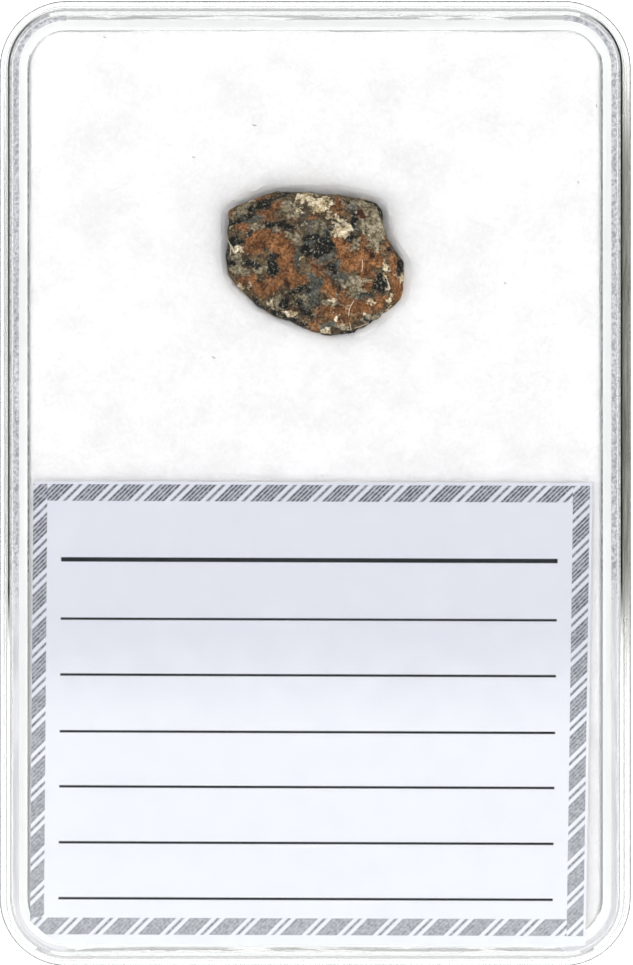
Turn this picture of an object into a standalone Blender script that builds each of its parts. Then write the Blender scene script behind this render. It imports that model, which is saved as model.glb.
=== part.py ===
"""A lunar meteorite fragment in its clear specimen box.

The box lies on its back: X runs across it, Y runs along it from the label to the
stone, and Z runs up through the lid. The origin is the middle of the underside.
Every length is in metres.
"""

import math

import bmesh
import bpy
from mathutils import Matrix, Vector, noise

MM = 0.001

# Outside of the closed box
BOX_WIDTH = 38.0 * MM
BOX_LENGTH = 58.0 * MM
BOX_HEIGHT = 16.0 * MM
CORNER_RADIUS = 4.1 * MM
CORNER_STEPS = 9

# Moulded walls
GAP = 0.3 * MM
LID_WALL = 0.6 * MM
LID_TOP = 0.9 * MM
LID_EDGE_ROUND = 0.4 * MM
RIM_WALL = 0.85 * MM
TRAY_FLOOR = 1.1 * MM
FOOT_ROUND = 0.5 * MM
SHOULDER_HEIGHT = 7.2 * MM

# Paper label, laid very slightly askew, with its lower left corner cut off
LABEL_WIDTH = 33.4 * MM
LABEL_LENGTH = 27.7 * MM
LABEL_THICKNESS = 0.15 * MM
LABEL_X = -0.25 * MM
LABEL_Y = -13.75 * MM
LABEL_TURN = math.radians(-0.25)
LABEL_CORNER_CUT = 1.6 * MM

# Soft white pad that fills the tray
PAD_CROWN = 1.3 * MM
PAD_CROWN_STEPS = 4
DISH_SIZE = (15.0 * MM, 13.0 * MM, 2.6 * MM)
DISH_LIFT = 0.35 * MM

# The stone, measured from its own centre
STONE_X = 0.07 * MM
STONE_Y = 13.2 * MM
STONE_RISE = 1.45 * MM
STONE_DROP = 1.9 * MM
STONE_SQUARENESS = 3.2
STONE_DETAIL = 5
POCKET_DETAIL = 4
POCKET_GAP = 0.42 * MM

# Heights that follow from the sizes above
LID_UNDERSIDE = BOX_HEIGHT - LID_TOP
LABEL_TOP = LID_UNDERSIDE - GAP
RIM_TOP = LABEL_TOP - LABEL_THICKNESS - GAP
PAD_TOP = RIM_TOP - 0.1 * MM
STONE_Z = LID_UNDERSIDE - GAP - 0.1 * MM - STONE_RISE
RIM_INSET = LID_WALL + GAP
CAVITY_INSET = RIM_INSET + RIM_WALL
PAD_CORNER = CORNER_RADIUS - CAVITY_INSET - GAP

# Outline of the stone from above, clockwise from its upper left corner, in mm
STONE_OUTLINE = (
    (-5.35, 3.15), (-4.1, 3.8), (-2.75, 4.2), (-1.8, 4.4), (-0.6, 4.25), (0.5, 4.15),
    (1.8, 4.05), (2.95, 3.9), (3.65, 3.65), (4.05, 3.15), (4.15, 2.35), (4.35, 1.5),
    (4.7, 0.8), (5.2, 0.05), (5.4, -0.7), (5.35, -1.5), (5.05, -2.2), (4.5, -2.8),
    (3.9, -3.35), (2.95, -3.9), (2.0, -4.2), (0.75, -4.4), (-0.3, -4.15),
    (-1.35, -3.6), (-2.6, -3.05), (-3.45, -2.55), (-4.25, -1.95), (-4.95, -1.3),
    (-5.3, -0.6), (-5.4, 0.2), (-5.4, 0.95), (-5.3, 1.65), (-5.3, 2.4),
)

# Broken faces of the stone: outward direction, and distance from its centre in mm
STONE_FACETS = (
    ((0.03, -0.02, 1.0), 1.3),      # nearly flat upper face
    ((0.77, -0.08, 0.63), 4.13),    # slope beyond the ridge on the right
    ((0.42, -0.72, 0.55), 4.05),    # lower right edge
    ((-0.5, -0.68, 0.53), 3.75),    # long slope on the lower left
    ((-0.3, 0.8, 0.52), 4.5),       # strip along the upper left edge
    ((0.55, 0.6, 0.58), 4.6),       # worn upper right shoulder
    ((-0.86, 0.05, 0.5), 5.0),      # left end
    ((0.12, 0.1, -1.0), 1.6),       # underside
    ((-0.62, 0.25, -0.74), 3.9),    # under the left end
    ((0.68, 0.15, -0.72), 4.2),     # under the right end
    ((0.1, -0.74, -0.66), 3.3),     # under the lower edge
    ((-0.05, 0.78, -0.62), 3.5),    # under the upper edge
)
FACET_SHARPNESS = 0.94

# Pits and knobs on the upper face: place, radius and height, in mm
STONE_KNOBS = (
    ((-1.75, -2.35), 0.6, -0.34),   # pit on the lower left
    ((-0.75, -2.85), 0.5, -0.28),   # pit on the dark vein
    ((2.75, 3.0), 0.55, -0.26),     # pit near the upper right corner
    ((-3.9, 2.5), 0.9, 0.16),       # long pale clast
    ((1.35, 2.35), 1.0, 0.14),      # pale clasts in the middle of the top
    ((1.0, 1.2), 0.75, -0.16),      # sunk dark clast
    ((-2.2, -2.2), 0.5, 0.15),      # pale clast beside the pit
    ((3.9, -1.2), 0.6, 0.14),       # knob on the ridge
    ((0.2, -0.9), 0.8, -0.12),      # smooth vein
    ((-2.9, 1.7), 0.8, -0.12),      # dark hollow
)

# Relief of the broken surface: size of the lumps and their height, in mm
STONE_RELIEF = ((2.6, 0.22), (1.1, 0.12), (0.55, 0.07))

# Broken chips: their breadth, and how far one stands above the next, in mm
CHIP_SIZE = 1.25
CHIP_HEIGHT = 0.15


def clear_scene():
    for item in list(bpy.data.objects):
        bpy.data.objects.remove(item, do_unlink=True)


def make_collection(name):
    collection = bpy.data.collections.new(name)
    bpy.context.scene.collection.children.link(collection)
    return collection


def make_material(name, color, roughness, alpha=1.0):
    material = bpy.data.materials.new(name)
    material.use_nodes = True
    shader = material.node_tree.nodes["Principled BSDF"]
    shader.inputs["Base Color"].default_value = (*color, 1.0)
    shader.inputs["Roughness"].default_value = roughness
    shader.inputs["Metallic"].default_value = 0.0
    shader.inputs["Alpha"].default_value = alpha
    material.diffuse_color = (*color, alpha)
    return material


def make_object(name, bm, collection, material=None):
    mesh = bpy.data.meshes.new(name)
    bm.to_mesh(mesh)
    bm.free()
    item = bpy.data.objects.new(name, mesh)
    collection.objects.link(item)
    if material:
        mesh.materials.append(material)
    else:
        item.hide_render = True
        item.display_type = "WIRE"
    return item


def rounded_block(width, length, low, high, corner, top_round=0.0, foot_round=0.0, steps=3):
    """A block with round upright corners and, if wanted, round upper or lower edges."""
    bm = bmesh.new()
    size = Matrix.Diagonal((width, length, high - low, 1.0))
    place = Matrix.Translation((0.0, 0.0, (low + high) / 2))
    bmesh.ops.create_cube(bm, size=1.0, matrix=place @ size)
    upright = [e for e in bm.edges if abs(e.verts[0].co.z - e.verts[1].co.z) > (high - low) / 2]
    bmesh.ops.bevel(bm, geom=upright, offset=corner, segments=CORNER_STEPS, profile=0.5,
                    affect="EDGES")
    for level, radius in ((high, top_round), (low, foot_round)):
        if radius:
            rim = [e for e in bm.edges if all(abs(v.co.z - level) < 1e-7 for v in e.verts)]
            bmesh.ops.bevel(bm, geom=rim, offset=radius, segments=steps, profile=0.5,
                            affect="EDGES")
    return bm


def add_boolean(item, operation, cutter):
    modifier = item.modifiers.new(f"{operation.title()} {cutter.name}", "BOOLEAN")
    modifier.operation = operation
    modifier.object = cutter
    modifier.solver = "EXACT"


def make_tray(parts, cutters, plastic):
    """The lower half: a thick band up to the shoulder, then a thinner rim inside the lid."""
    band = rounded_block(BOX_WIDTH, BOX_LENGTH, 0.0, SHOULDER_HEIGHT, CORNER_RADIUS,
                         foot_round=FOOT_ROUND)
    tray = make_object("tray", band, parts, plastic)
    rim = rounded_block(BOX_WIDTH - 2 * RIM_INSET, BOX_LENGTH - 2 * RIM_INSET,
                        TRAY_FLOOR * 2, RIM_TOP, CORNER_RADIUS - RIM_INSET)
    cavity = rounded_block(BOX_WIDTH - 2 * CAVITY_INSET, BOX_LENGTH - 2 * CAVITY_INSET,
                           TRAY_FLOOR, BOX_HEIGHT, CORNER_RADIUS - CAVITY_INSET)
    add_boolean(tray, "UNION", make_object("tray_rim", rim, cutters))
    add_boolean(tray, "DIFFERENCE", make_object("tray_cavity", cavity, cutters))
    return tray


def make_lid(parts, cutters, plastic):
    """The upper half, whose skirt stands just above the tray's shoulder."""
    shell = rounded_block(BOX_WIDTH, BOX_LENGTH, SHOULDER_HEIGHT + GAP, BOX_HEIGHT,
                          CORNER_RADIUS, top_round=LID_EDGE_ROUND)
    lid = make_object("lid", shell, parts, plastic)
    inside = rounded_block(BOX_WIDTH - 2 * LID_WALL, BOX_LENGTH - 2 * LID_WALL, 0.0,
                           LID_UNDERSIDE, CORNER_RADIUS - LID_WALL)
    add_boolean(lid, "DIFFERENCE", make_object("lid_inside", inside, cutters))
    return lid


def make_label(parts, paper):
    bm = bmesh.new()
    size = Matrix.Diagonal((LABEL_WIDTH, LABEL_LENGTH, LABEL_THICKNESS, 1.0))
    bmesh.ops.create_cube(bm, size=1.0, matrix=size)
    lower_left = [e for e in bm.edges if all(v.co.x < 0 and v.co.y < 0 for v in e.verts)]
    bmesh.ops.bevel(bm, geom=lower_left, offset=LABEL_CORNER_CUT, segments=3, profile=0.4,
                    affect="EDGES")
    label = make_object("label", bm, parts, paper)
    label.location = (LABEL_X, LABEL_Y, LABEL_TOP - LABEL_THICKNESS / 2)
    label.rotation_euler = (0.0, 0.0, LABEL_TURN)
    return label


def outline_radius(angle):
    """Distance from the stone's centre to its outline, in mm, in the direction of an angle."""
    ray = Vector((math.cos(angle), math.sin(angle)))
    count = len(STONE_OUTLINE)
    for i in range(count):
        start = Vector(STONE_OUTLINE[i])
        side = Vector(STONE_OUTLINE[(i + 1) % count]) - start
        across = ray.x * side.y - ray.y * side.x
        if abs(across) < 1e-9:
            continue
        reach = (start.x * side.y - start.y * side.x) / across
        part = (start.x * ray.y - start.y * ray.x) / across
        if reach > 0 and -1e-6 <= part <= 1 + 1e-6:
            return reach
    raise ValueError("the outline of the stone doesn't close")


def stone_form(direction):
    """The plain stone, in mm: the point for a direction of the round start, and its normal."""
    angle = math.atan2(direction.y, direction.x)
    reach = outline_radius(angle)
    half_height = (STONE_RISE if direction.z > 0 else STONE_DROP) / MM
    # The round start's points are spread evenly over the flat faces and the sides
    share = 1.0 - abs(direction.z)
    turn = (1.0 - (1.0 - share ** 0.8) ** 1.15) * math.pi / 2
    flat = math.sin(turn) ** (2 / STONE_SQUARENESS)
    tall = math.cos(turn) ** (2 / STONE_SQUARENESS)
    out = flat ** (STONE_SQUARENESS - 1) / reach
    up = math.copysign(tall ** (STONE_SQUARENESS - 1) / half_height, direction.z)
    point = Vector((math.cos(angle) * flat * reach, math.sin(angle) * flat * reach,
                    math.copysign(tall * half_height, direction.z)))
    normal = Vector((math.cos(angle) * out, math.sin(angle) * out, up)).normalized()
    return point, normal


def break_facets(point):
    for normal, distance in STONE_FACETS:
        normal = Vector(normal).normalized()
        over = point.dot(normal) - distance
        if over > 0:
            point = point - normal * over * FACET_SHARPNESS
    return point


def add_knobs(point):
    if point.z > 0:
        for (x, y), radius, height in STONE_KNOBS:
            near = math.hypot(point.x - x, point.y - y) / radius
            point.z += height * math.exp(-2.0 * near ** 2)
    return point


def add_relief(point, normal):
    rise = sum(height * noise.noise(point / size) for size, height in STONE_RELIEF)
    # Each chip of the broken surface stands a little higher or lower than the next
    chip = noise.voronoi(point / CHIP_SIZE)[1][0]
    rise += CHIP_HEIGHT * (noise.cell(chip * 31.7) - 0.5)
    # The outline was measured, so the relief is weaker around the sides
    return point + normal * rise * (1.0 - 0.5 * math.hypot(normal.x, normal.y))


def stone_mesh(detail, grow=0.0):
    """The stone as a closed mesh, grown outwards by a distance if it is to cut a pocket."""
    bm = bmesh.new()
    bmesh.ops.create_icosphere(bm, subdivisions=detail, radius=1.0)
    for vert in bm.verts:
        point, normal = stone_form(vert.co.normalized())
        vert.co = add_relief(add_knobs(break_facets(point)), normal) * MM
    if grow:
        bm.normal_update()
        offsets = [vert.normal * grow for vert in bm.verts]
        for vert, offset in zip(bm.verts, offsets):
            vert.co += offset
    return bm


def make_stone(parts, rock):
    stone = make_object("meteorite", stone_mesh(STONE_DETAIL), parts, rock)
    stone.location = (STONE_X, STONE_Y, STONE_Z)
    return stone


def make_padding(parts, cutters, wadding):
    """The pad, with a shallow dish around the stone and a pocket under it."""
    width = BOX_WIDTH - 2 * (CAVITY_INSET + GAP)
    length = BOX_LENGTH - 2 * (CAVITY_INSET + GAP)
    block = rounded_block(width, length, TRAY_FLOOR + GAP, PAD_TOP, PAD_CORNER,
                          top_round=PAD_CROWN, steps=PAD_CROWN_STEPS)
    padding = make_object("padding", block, parts, wadding)

    dish = bmesh.new()
    bmesh.ops.create_uvsphere(dish, u_segments=28, v_segments=14, radius=0.5,
                              matrix=Matrix.Diagonal((*DISH_SIZE, 1.0)))
    dish = make_object("pad_dish", dish, cutters)
    dish.location = (STONE_X, STONE_Y, PAD_TOP + DISH_LIFT)
    pocket = make_object("stone_pocket", stone_mesh(POCKET_DETAIL, POCKET_GAP), cutters)
    pocket.location = (STONE_X, STONE_Y, STONE_Z)
    add_boolean(padding, "DIFFERENCE", dish)
    add_boolean(padding, "DIFFERENCE", pocket)
    return padding


def main():
    clear_scene()
    parts = make_collection("lunar_meteorite")
    cutters = make_collection("cutters")

    plastic = make_material("clear_polystyrene", (0.92, 0.94, 0.95), 0.06, alpha=0.3)
    rock = make_material("lunar_breccia", (0.27, 0.18, 0.12), 0.75)
    paper = make_material("printed_paper", (0.85, 0.86, 0.9), 0.85)
    wadding = make_material("white_wadding", (0.93, 0.93, 0.93), 0.95)

    make_tray(parts, cutters, plastic)
    make_lid(parts, cutters, plastic)
    make_padding(parts, cutters, wadding)
    make_label(parts, paper)
    make_stone(parts, rock)


main()
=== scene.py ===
import math
from functools import partial

import bmesh
import bpy
import numpy as np
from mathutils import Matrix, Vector, noise
from mathutils.bvhtree import BVHTree
from mathutils.kdtree import KDTree


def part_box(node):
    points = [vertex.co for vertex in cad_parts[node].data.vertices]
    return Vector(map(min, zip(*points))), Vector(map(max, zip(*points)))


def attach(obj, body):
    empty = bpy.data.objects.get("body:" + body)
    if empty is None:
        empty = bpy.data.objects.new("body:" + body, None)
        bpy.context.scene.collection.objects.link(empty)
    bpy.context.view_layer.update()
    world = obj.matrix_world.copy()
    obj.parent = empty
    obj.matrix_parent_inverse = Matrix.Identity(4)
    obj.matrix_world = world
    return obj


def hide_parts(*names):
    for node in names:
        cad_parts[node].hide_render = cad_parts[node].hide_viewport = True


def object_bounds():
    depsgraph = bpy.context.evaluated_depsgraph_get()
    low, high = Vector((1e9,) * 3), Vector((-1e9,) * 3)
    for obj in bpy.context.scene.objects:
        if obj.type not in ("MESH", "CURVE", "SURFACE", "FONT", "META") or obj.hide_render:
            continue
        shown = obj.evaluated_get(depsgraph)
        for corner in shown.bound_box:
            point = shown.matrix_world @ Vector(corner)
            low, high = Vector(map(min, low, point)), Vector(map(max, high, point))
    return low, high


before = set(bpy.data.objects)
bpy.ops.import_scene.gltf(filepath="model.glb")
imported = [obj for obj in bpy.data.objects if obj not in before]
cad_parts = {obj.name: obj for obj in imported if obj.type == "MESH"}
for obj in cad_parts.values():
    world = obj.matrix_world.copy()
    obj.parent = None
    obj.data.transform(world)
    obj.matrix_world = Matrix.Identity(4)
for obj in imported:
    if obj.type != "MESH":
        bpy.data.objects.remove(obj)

# Lunar meteorite on white wadding in a clear lift-lid box, with a bordered paper label.
# Sizes in the settings are in millimetres, and every mesh is made in metres.

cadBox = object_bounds()
mm = 0.001
boxLow, boxHigh = cadBox
boxWidth, boxLength = ((boxHigh[i] - boxLow[i]) / mm for i in (0, 1))
cornerRadius = 4.1       # of the closed box, seen from above
smoothAngle = math.radians(40)
scene = bpy.context.scene


def linear(hexColour, alpha=1.0):
    # sRGB hex to the linear values that the shaders take
    channels = [int(hexColour[i:i + 2], 16) / 255 for i in (1, 3, 5)]
    return [c / 12.92 if c <= 0.04045 else ((c + 0.055) / 1.055) ** 2.4
            for c in channels] + [alpha]


def addNode(tree, kind, inputs=(), output=0, **settings):
    # one shader node with its settings, and its inputs in order or by name: sockets are linked,
    # and hex colours are made linear. A Mix has its factor at 0 and its two values at 2 and 3,
    # or for colours at 6 and 7, with the result at 2.
    node = tree.nodes.new("ShaderNode" + kind)
    for key, value in settings.items():
        setattr(node, key, value)
    for key, value in (inputs.items() if isinstance(inputs, dict) else enumerate(inputs)):
        if isinstance(value, bpy.types.NodeSocket):
            tree.links.new(value, node.inputs[key])
        else:
            node.inputs[key].default_value = linear(value) if isinstance(value, str) else value
    return node.outputs[output]


def newMaterial(name, **shaderValues):
    material = bpy.data.materials.new(name)
    material.use_nodes = True
    tree = material.node_tree
    shader = tree.nodes["Principled BSDF"]
    for key, value in shaderValues.items():
        shader.inputs[key.replace("_", " ")].default_value = value
    return material, tree, shader


def onlySelect(piece):
    if bpy.context.object and bpy.context.object.mode != "OBJECT":
        bpy.ops.object.mode_set(mode="OBJECT")
    bpy.ops.object.select_all(action="DESELECT")
    bpy.context.view_layer.objects.active = piece
    piece.select_set(True)


def addBlock(name, width, length, low, high):
    # a plain block to shape by hand, in mm
    bpy.ops.object.select_all(action="DESELECT")
    bpy.ops.mesh.primitive_cube_add(size=1, location=(0, 0, (low + high) / 2 * mm))
    block = bpy.context.object
    block.name = name
    block.scale = (width * mm, length * mm, (high - low) * mm)
    bpy.ops.object.transform_apply(location=True, rotation=True, scale=True)
    return block


def startShell(name, low, high, segments):
    # a block of the box's own outline between two heights, left in edit mode
    piece = addBlock(name, boxWidth, boxLength, low, high)
    onlySelect(piece)
    bpy.ops.object.mode_set(mode="EDIT")
    pick(piece, "EDGE", lambda e: abs(e.verts[0].co.z - e.verts[1].co.z) > 1 * mm)
    bpy.ops.mesh.bevel(offset=cornerRadius * mm, segments=segments, affect="EDGES")
    return piece


def pick(piece, kind, test):
    # selects the edges or faces of the piece in edit mode that pass the test
    bpy.ops.mesh.select_mode(type=kind)
    bpy.ops.mesh.select_all(action="DESELECT")
    mesh = bmesh.from_edit_mesh(piece.data)
    mesh.normal_update()
    for part in (mesh.faces if kind == "FACE" else mesh.edges):
        part.select = test(part)
    mesh.select_flush_mode()
    bmesh.update_edit_mesh(piece.data)


def flatAt(height, side=0):
    # test for a level face at a height in mm, facing up (1), down (-1) or either way
    return lambda face: (all(abs(v.co.z - height * mm) < 1e-6 for v in face.verts)
                         and (not side or face.normal.z * side > 0.9))


def depthInside(spot):
    # how far a point is in from the outside of the box, in mm, seen from above
    over = [abs(spot[i]) - (boxHigh[i] - cornerRadius * mm) for i in (0, 1)]
    beyond = math.hypot(max(over[0], 0), max(over[1], 0)) + min(max(over), 0)
    return cornerRadius - beyond / mm


def loopAt(height, depth):
    # test for the edges of a level loop at a height, that far in from the outside of the box
    return lambda edge: all(abs(v.co.z - height * mm) < 1e-6
                            and abs(depthInside(v.co) - depth) < 0.2 for v in edge.verts)


def roundLoops(piece, size, segments, *loops):
    # bevels the level loops at these heights and depths
    pick(piece, "EDGE", lambda edge: any(loopAt(*loop)(edge) for loop in loops))
    bpy.ops.mesh.bevel(offset=size * mm, segments=segments, affect="EDGES")


def roundPicked(size, segments):
    # bevels the rim of the picked faces
    bpy.ops.mesh.select_mode(type="EDGE")
    bpy.ops.mesh.region_to_loop()
    bpy.ops.mesh.bevel(offset=size * mm, segments=segments, affect="EDGES")


def pushFaces(distance):
    # moves the picked faces up or down and leaves walls behind them
    bpy.ops.mesh.extrude_region_move(TRANSFORM_OT_translate={"value": (0, 0, distance * mm)})


def applyModifiers(piece):
    onlySelect(piece)
    for modifier in list(piece.modifiers):
        bpy.ops.object.modifier_apply(modifier=modifier.name)


def copyOfNode(name, newName):
    # a CAD node's own mesh as a start, its loose triangles joined first
    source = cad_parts[name]
    piece = bpy.data.objects.new(newName, source.data.copy())
    scene.collection.objects.link(piece)
    piece.data.materials.clear()
    onlySelect(piece)
    bpy.ops.object.mode_set(mode="EDIT")
    bpy.ops.mesh.select_all(action="SELECT")
    bpy.ops.mesh.remove_doubles(threshold=1e-6)
    bpy.ops.object.mode_set(mode="OBJECT")
    return piece


def finishPiece(piece, material, slot, *nodes):
    piece.data.materials.clear()
    piece.data.materials.append(material)
    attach(piece, "root")
    if nodes:
        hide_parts(*nodes)


# Camera and light

camera = {
    "pixelsPerMm": 16.7,          # scale of the photo at the lid
    "frame": (633, 965),
    "centre": (0.08, 0.06),       # what the middle of the photo looks at, in mm
    "distance": 1200,             # far off, because the photo is nearly a parallel view
    "sensor": 36,
    "clip": (0.1, 10),            # in metres
}


def addCamera():
    data = bpy.data.cameras.new("copyStandCamera")
    item = bpy.data.objects.new("copyStandCamera", data)
    scene.collection.objects.link(item)
    data.sensor_width = camera["sensor"]
    viewLength = camera["frame"][1] / camera["pixelsPerMm"]
    data.lens = data.sensor_width * camera["distance"] / viewLength
    x, y = camera["centre"]
    item.location = (x * mm, y * mm, boxHigh.z + camera["distance"] * mm)
    data.clip_start, data.clip_end = camera["clip"]
    scene.camera = item


light = {
    "tent": "#FFFFFF",
    "strength": 2.8,
    "zenith": 0.05,               # the dark opening over the box that the camera looks through
    "zenithSize": (0.975, 0.99),  # up part of the direction, where the opening begins and ends
    "gapHeight": (0.22, 0.34),    # up part of the direction, where the gaps at the table end
    "gapWidth": (0.72, 0.97),     # end part of the direction, where they run out
    "gapLeft": 0.035,             # how much light comes in at the left and right gap
    "gapRight": 0.0,
    "gapTurn": 0.2,               # side part of the direction, where left turns into right
    "gapEnds": 0.24,              # light at the two ends of the box
    "near": 1.15,                 # the end of the tent towards the label is brighter
    "far": 0.85,
    "boxGlow": 2.2,               # two soft boxes beside the label close the gaps there
    "boxSize": (240, 75),         # along the table and up, in mm
    "boxPlace": (150, -126, 38),
    "boxFade": 8,                 # over how much of its near end each one gets dimmer, in mm
}


def addLightTent():
    world = bpy.data.worlds.new("lightTent")
    scene.world = world
    world.use_nodes = True
    tree = world.node_tree
    background = tree.nodes["Background"]
    add = partial(addNode, tree)
    coords = add("TexCoord", output="Generated")
    x, y, z = (add("SeparateXYZ", (coords,), axis) for axis in "XYZ")
    opening = add("MapRange", (z, *light["zenithSize"], 1.0, light["zenith"]),
                  interpolation_type="SMOOTHSTEP")
    # the tent stands open low down on the left and right, where the room is dark
    up = add("Math", (z,), operation="ABSOLUTE")
    low = add("MapRange", (up, *light["gapHeight"], 1.0, 0.0), interpolation_type="SMOOTHSTEP")
    along = add("Math", (y,), operation="ABSOLUTE")
    wide = add("MapRange", (along, *light["gapWidth"], 1.0, 0.0), interpolation_type="SMOOTHSTEP")
    turn = light["gapTurn"]
    inGap = add("MapRange", (x, -turn, turn, light["gapLeft"], light["gapRight"]),
                interpolation_type="SMOOTHSTEP")
    inGap = add("Mix", {0: wide, 2: light["gapEnds"], 3: inGap})
    sides = add("Mix", {0: low, 2: 1.0, 3: inGap})
    ends = add("MapRange", (y, -1.0, 1.0, light["near"], light["far"]))
    level = opening
    for factor in (sides, ends, light["strength"]):
        level = add("Math", (level, factor), operation="MULTIPLY")
    background.inputs["Color"].default_value = linear(light["tent"])
    tree.links.new(level, background.inputs["Strength"])
    world.cycles.sampling_method = "NONE"    # the light reaches all through clear plastic
    scene.view_settings.view_transform = "Standard"


def addSoftBoxes():
    x, y, z = light["boxPlace"]
    along, up = light["boxSize"]
    # white cloth, lit from behind
    cloth, tree, shader = newMaterial("softBoxCloth", Base_Color=linear("#000000"),
                                      Specular_IOR_Level=0.0, Emission_Color=linear("#FFFFFF"))
    cloth.cycles.emission_sampling = "NONE"
    coords = addNode(tree, "TexCoord", output="Object")
    end = addNode(tree, "SeparateXYZ", (coords,), "Y")
    near = y + along / 2
    far = near - light["boxFade"]
    glow = addNode(tree, "MapRange", (end, near * mm, far * mm, 0.0, light["boxGlow"]),
                   interpolation_type="SMOOTHSTEP")
    tree.links.new(glow, shader.inputs["Emission Strength"])
    for side, name in ((-1, "backdropLeft"), (1, "backdropRight")):
        bpy.ops.object.select_all(action="DESELECT")
        bpy.ops.mesh.primitive_plane_add(size=1, location=(side * x * mm, y * mm, z * mm),
                                         rotation=(0, -side * math.pi / 2, 0))
        panel = bpy.context.object
        panel.name = name
        panel.scale = (up * mm, along * mm, 1)
        bpy.ops.object.transform_apply(location=True, rotation=True, scale=True)
        panel.data.materials.append(cloth)
        panel.visible_camera = False


floor = {"size": 900, "drop": 0.02, "colour": "#F4F4F2", "glow": 0.62}


def makeFloor():
    bpy.ops.object.select_all(action="DESELECT")
    bpy.ops.mesh.primitive_plane_add(size=floor["size"] * mm, location=(0, 0, -floor["drop"] * mm))
    plane = bpy.context.object
    plane.name = "backdropFloor"
    onlySelect(plane)
    bpy.ops.object.transform_apply(location=True, rotation=True, scale=True)
    # matt white sheet of a light table
    material = newMaterial(
        "mattLightTable", Roughness=0.8, Base_Color=linear(floor["colour"]),
        Emission_Color=linear("#FFFFFF"), Emission_Strength=floor["glow"])[0]
    material.cycles.emission_sampling = "NONE"
    plane.data.materials.append(material)


# Clear polystyrene box: injection moulded and glass-clear, rubbed matt along the tray's edges,
# grimy in the seam, with painted shade along the rim's inner edge on the long sides

plasticIor = 1.59


def makeClearPlastic():
    return newMaterial("clearPolystyrene", Base_Color=linear("#FBFCFC"), Roughness=0.02,
                       IOR=plasticIor, Transmission_Weight=1.0)[0]


scuffsAndEdgeShade = {
    "grain": 0.2, "contrast": (0.35, 0.65),
    "paleEnd": (-5, -13),           # along y, where the strips get paler and are palest: the rubbing fades, and so does the painted shade on the inner strip
    "paleEndAmount": 0.8,
    # name and two tones of each strip, how far out to the sides it begins, and its height
    "outer": ("scuffedPolystyrene", "#8F8E9B", "#E9E8EE"), "outerFrom": 14.5, "outerBand": 0.36,
    "ledge": ("dulledPolystyrene", "#A3A3AA", "#E9E9ED"), "ledgeFrom": 16,
    # the inner strip is painted shade: the shadow in the narrow gap between the rim and the
    # wadding
    "inner": ("paintedShadePolystyreneEdge", "#55565A", "#A4A5A8"), "innerFrom": 17, "innerBand": 0.15,
    "skim": 0.002,                # leaves out the level top of the rim
}


def makeRubbedOrShadedPlastic(name, dark, pale):
    # the same plastic where it is rubbed matt, or darkened with painted shade along the rim's
    # inner edge
    material, tree, shader = newMaterial(name, Roughness=0.4, IOR=plasticIor,
                                         Transmission_Weight=0.55)
    add = partial(addNode, tree)
    coords = add("TexCoord", output="Object")
    grain = add("TexNoise", {"Vector": coords, "Scale": 1 / (scuffsAndEdgeShade["grain"] * mm), "Detail": 2.0})
    y = add("SeparateXYZ", (coords,), "Y")
    start, end = scuffsAndEdgeShade["paleEnd"]
    paleEnd = add("MapRange", (y, start * mm, end * mm, 0.0, scuffsAndEdgeShade["paleEndAmount"]))
    paleShare = add("Math", (grain, paleEnd), operation="ADD")
    paleShare = add("MapRange", (paleShare, *scuffsAndEdgeShade["contrast"]))
    colour = add("Mix", {0: paleShare, 6: dark, 7: pale}, 2, data_type="RGBA")
    tree.links.new(colour, shader.inputs["Base Color"])
    return material


grime = {
    "span": (-13, 27), "fade": 10, "left": 0.5, "dark": "#6B6A5C", "pale": "#B4B3A6",
    "sideFrom": 17, "streak": 0.12, "stretch": (1, 0.06, 0.4), "patch": 6,
}


def makeGrimyPlastic():
    # grey-olive grime that has crept into the seam on both sides, in long streaks
    material, tree, shader = newMaterial("grimyPolystyrene", IOR=plasticIor)
    add = partial(addNode, tree)
    coords = add("TexCoord", output="Object")
    stretched = add("Mapping", {"Vector": coords, "Scale": grime["stretch"]})
    streaks = add("TexNoise", {"Vector": stretched, "Scale": 1 / (grime["streak"] * mm),
                               "Detail": 3.0})
    patches = add("TexNoise", {"Vector": coords, "Scale": 1 / (grime["patch"] * mm),
                               "Detail": 2.0})
    x, y = (add("SeparateXYZ", (coords,), axis) for axis in "XY")
    start, end = grime["span"]
    fade = grime["fade"]
    upper = add("MapRange", (y, end * mm, (end - fade) * mm), interpolation_type="SMOOTHSTEP")
    lower = add("MapRange", (y, start * mm, (start + fade) * mm), interpolation_type="SMOOTHSTEP")
    sides = add("MapRange", (x, -mm, mm, grime["left"]))
    reach = add("Math", (upper, lower), operation="MULTIPLY")
    reach = add("Math", (reach, sides), operation="MULTIPLY")
    for socket, clean, dirty in (("Transmission Weight", 1.0, 0.15), ("Roughness", 0.02, 0.55)):
        tree.links.new(add("MapRange", (reach, 0.0, 1.0, clean, dirty)), shader.inputs[socket])
    patchy = add("MapRange", (patches, 0.2, 0.6, 0.7))
    amount = add("Math", (reach, patchy), operation="MULTIPLY")
    tone = add("MapRange", (streaks, 0.3, 0.7))
    film = add("Mix", {0: tone, 6: grime["dark"], 7: grime["pale"]}, 2, data_type="RGBA")
    colour = add("Mix", {0: amount, 6: "#FAFAF8", 7: film}, 2, data_type="RGBA")
    tree.links.new(colour, shader.inputs["Base Color"])
    return material


def coverFaces(piece, material, test):
    # a second material on the faces whose middle passes the test, given height and depth in mm
    piece.data.materials.append(material)
    for face in piece.data.polygons:
        if test(face.center.z / mm, depthInside(face.center), face.center / mm):
            face.material_index = len(piece.data.materials) - 1


tray = {
    "foot": 0.5, "shoulder": 7.25, "shoulderRound": 0.12, "ledge": 0.62,
    "rimInset": 0.95, "rimWall": 0.96, "rimTop": 14.35, "rimRoundOut": 0.34, "rimRoundIn": 0.12,
    "floor": 1.1, "floorRound": 0.4, "cornerSteps": 16,
}


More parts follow.
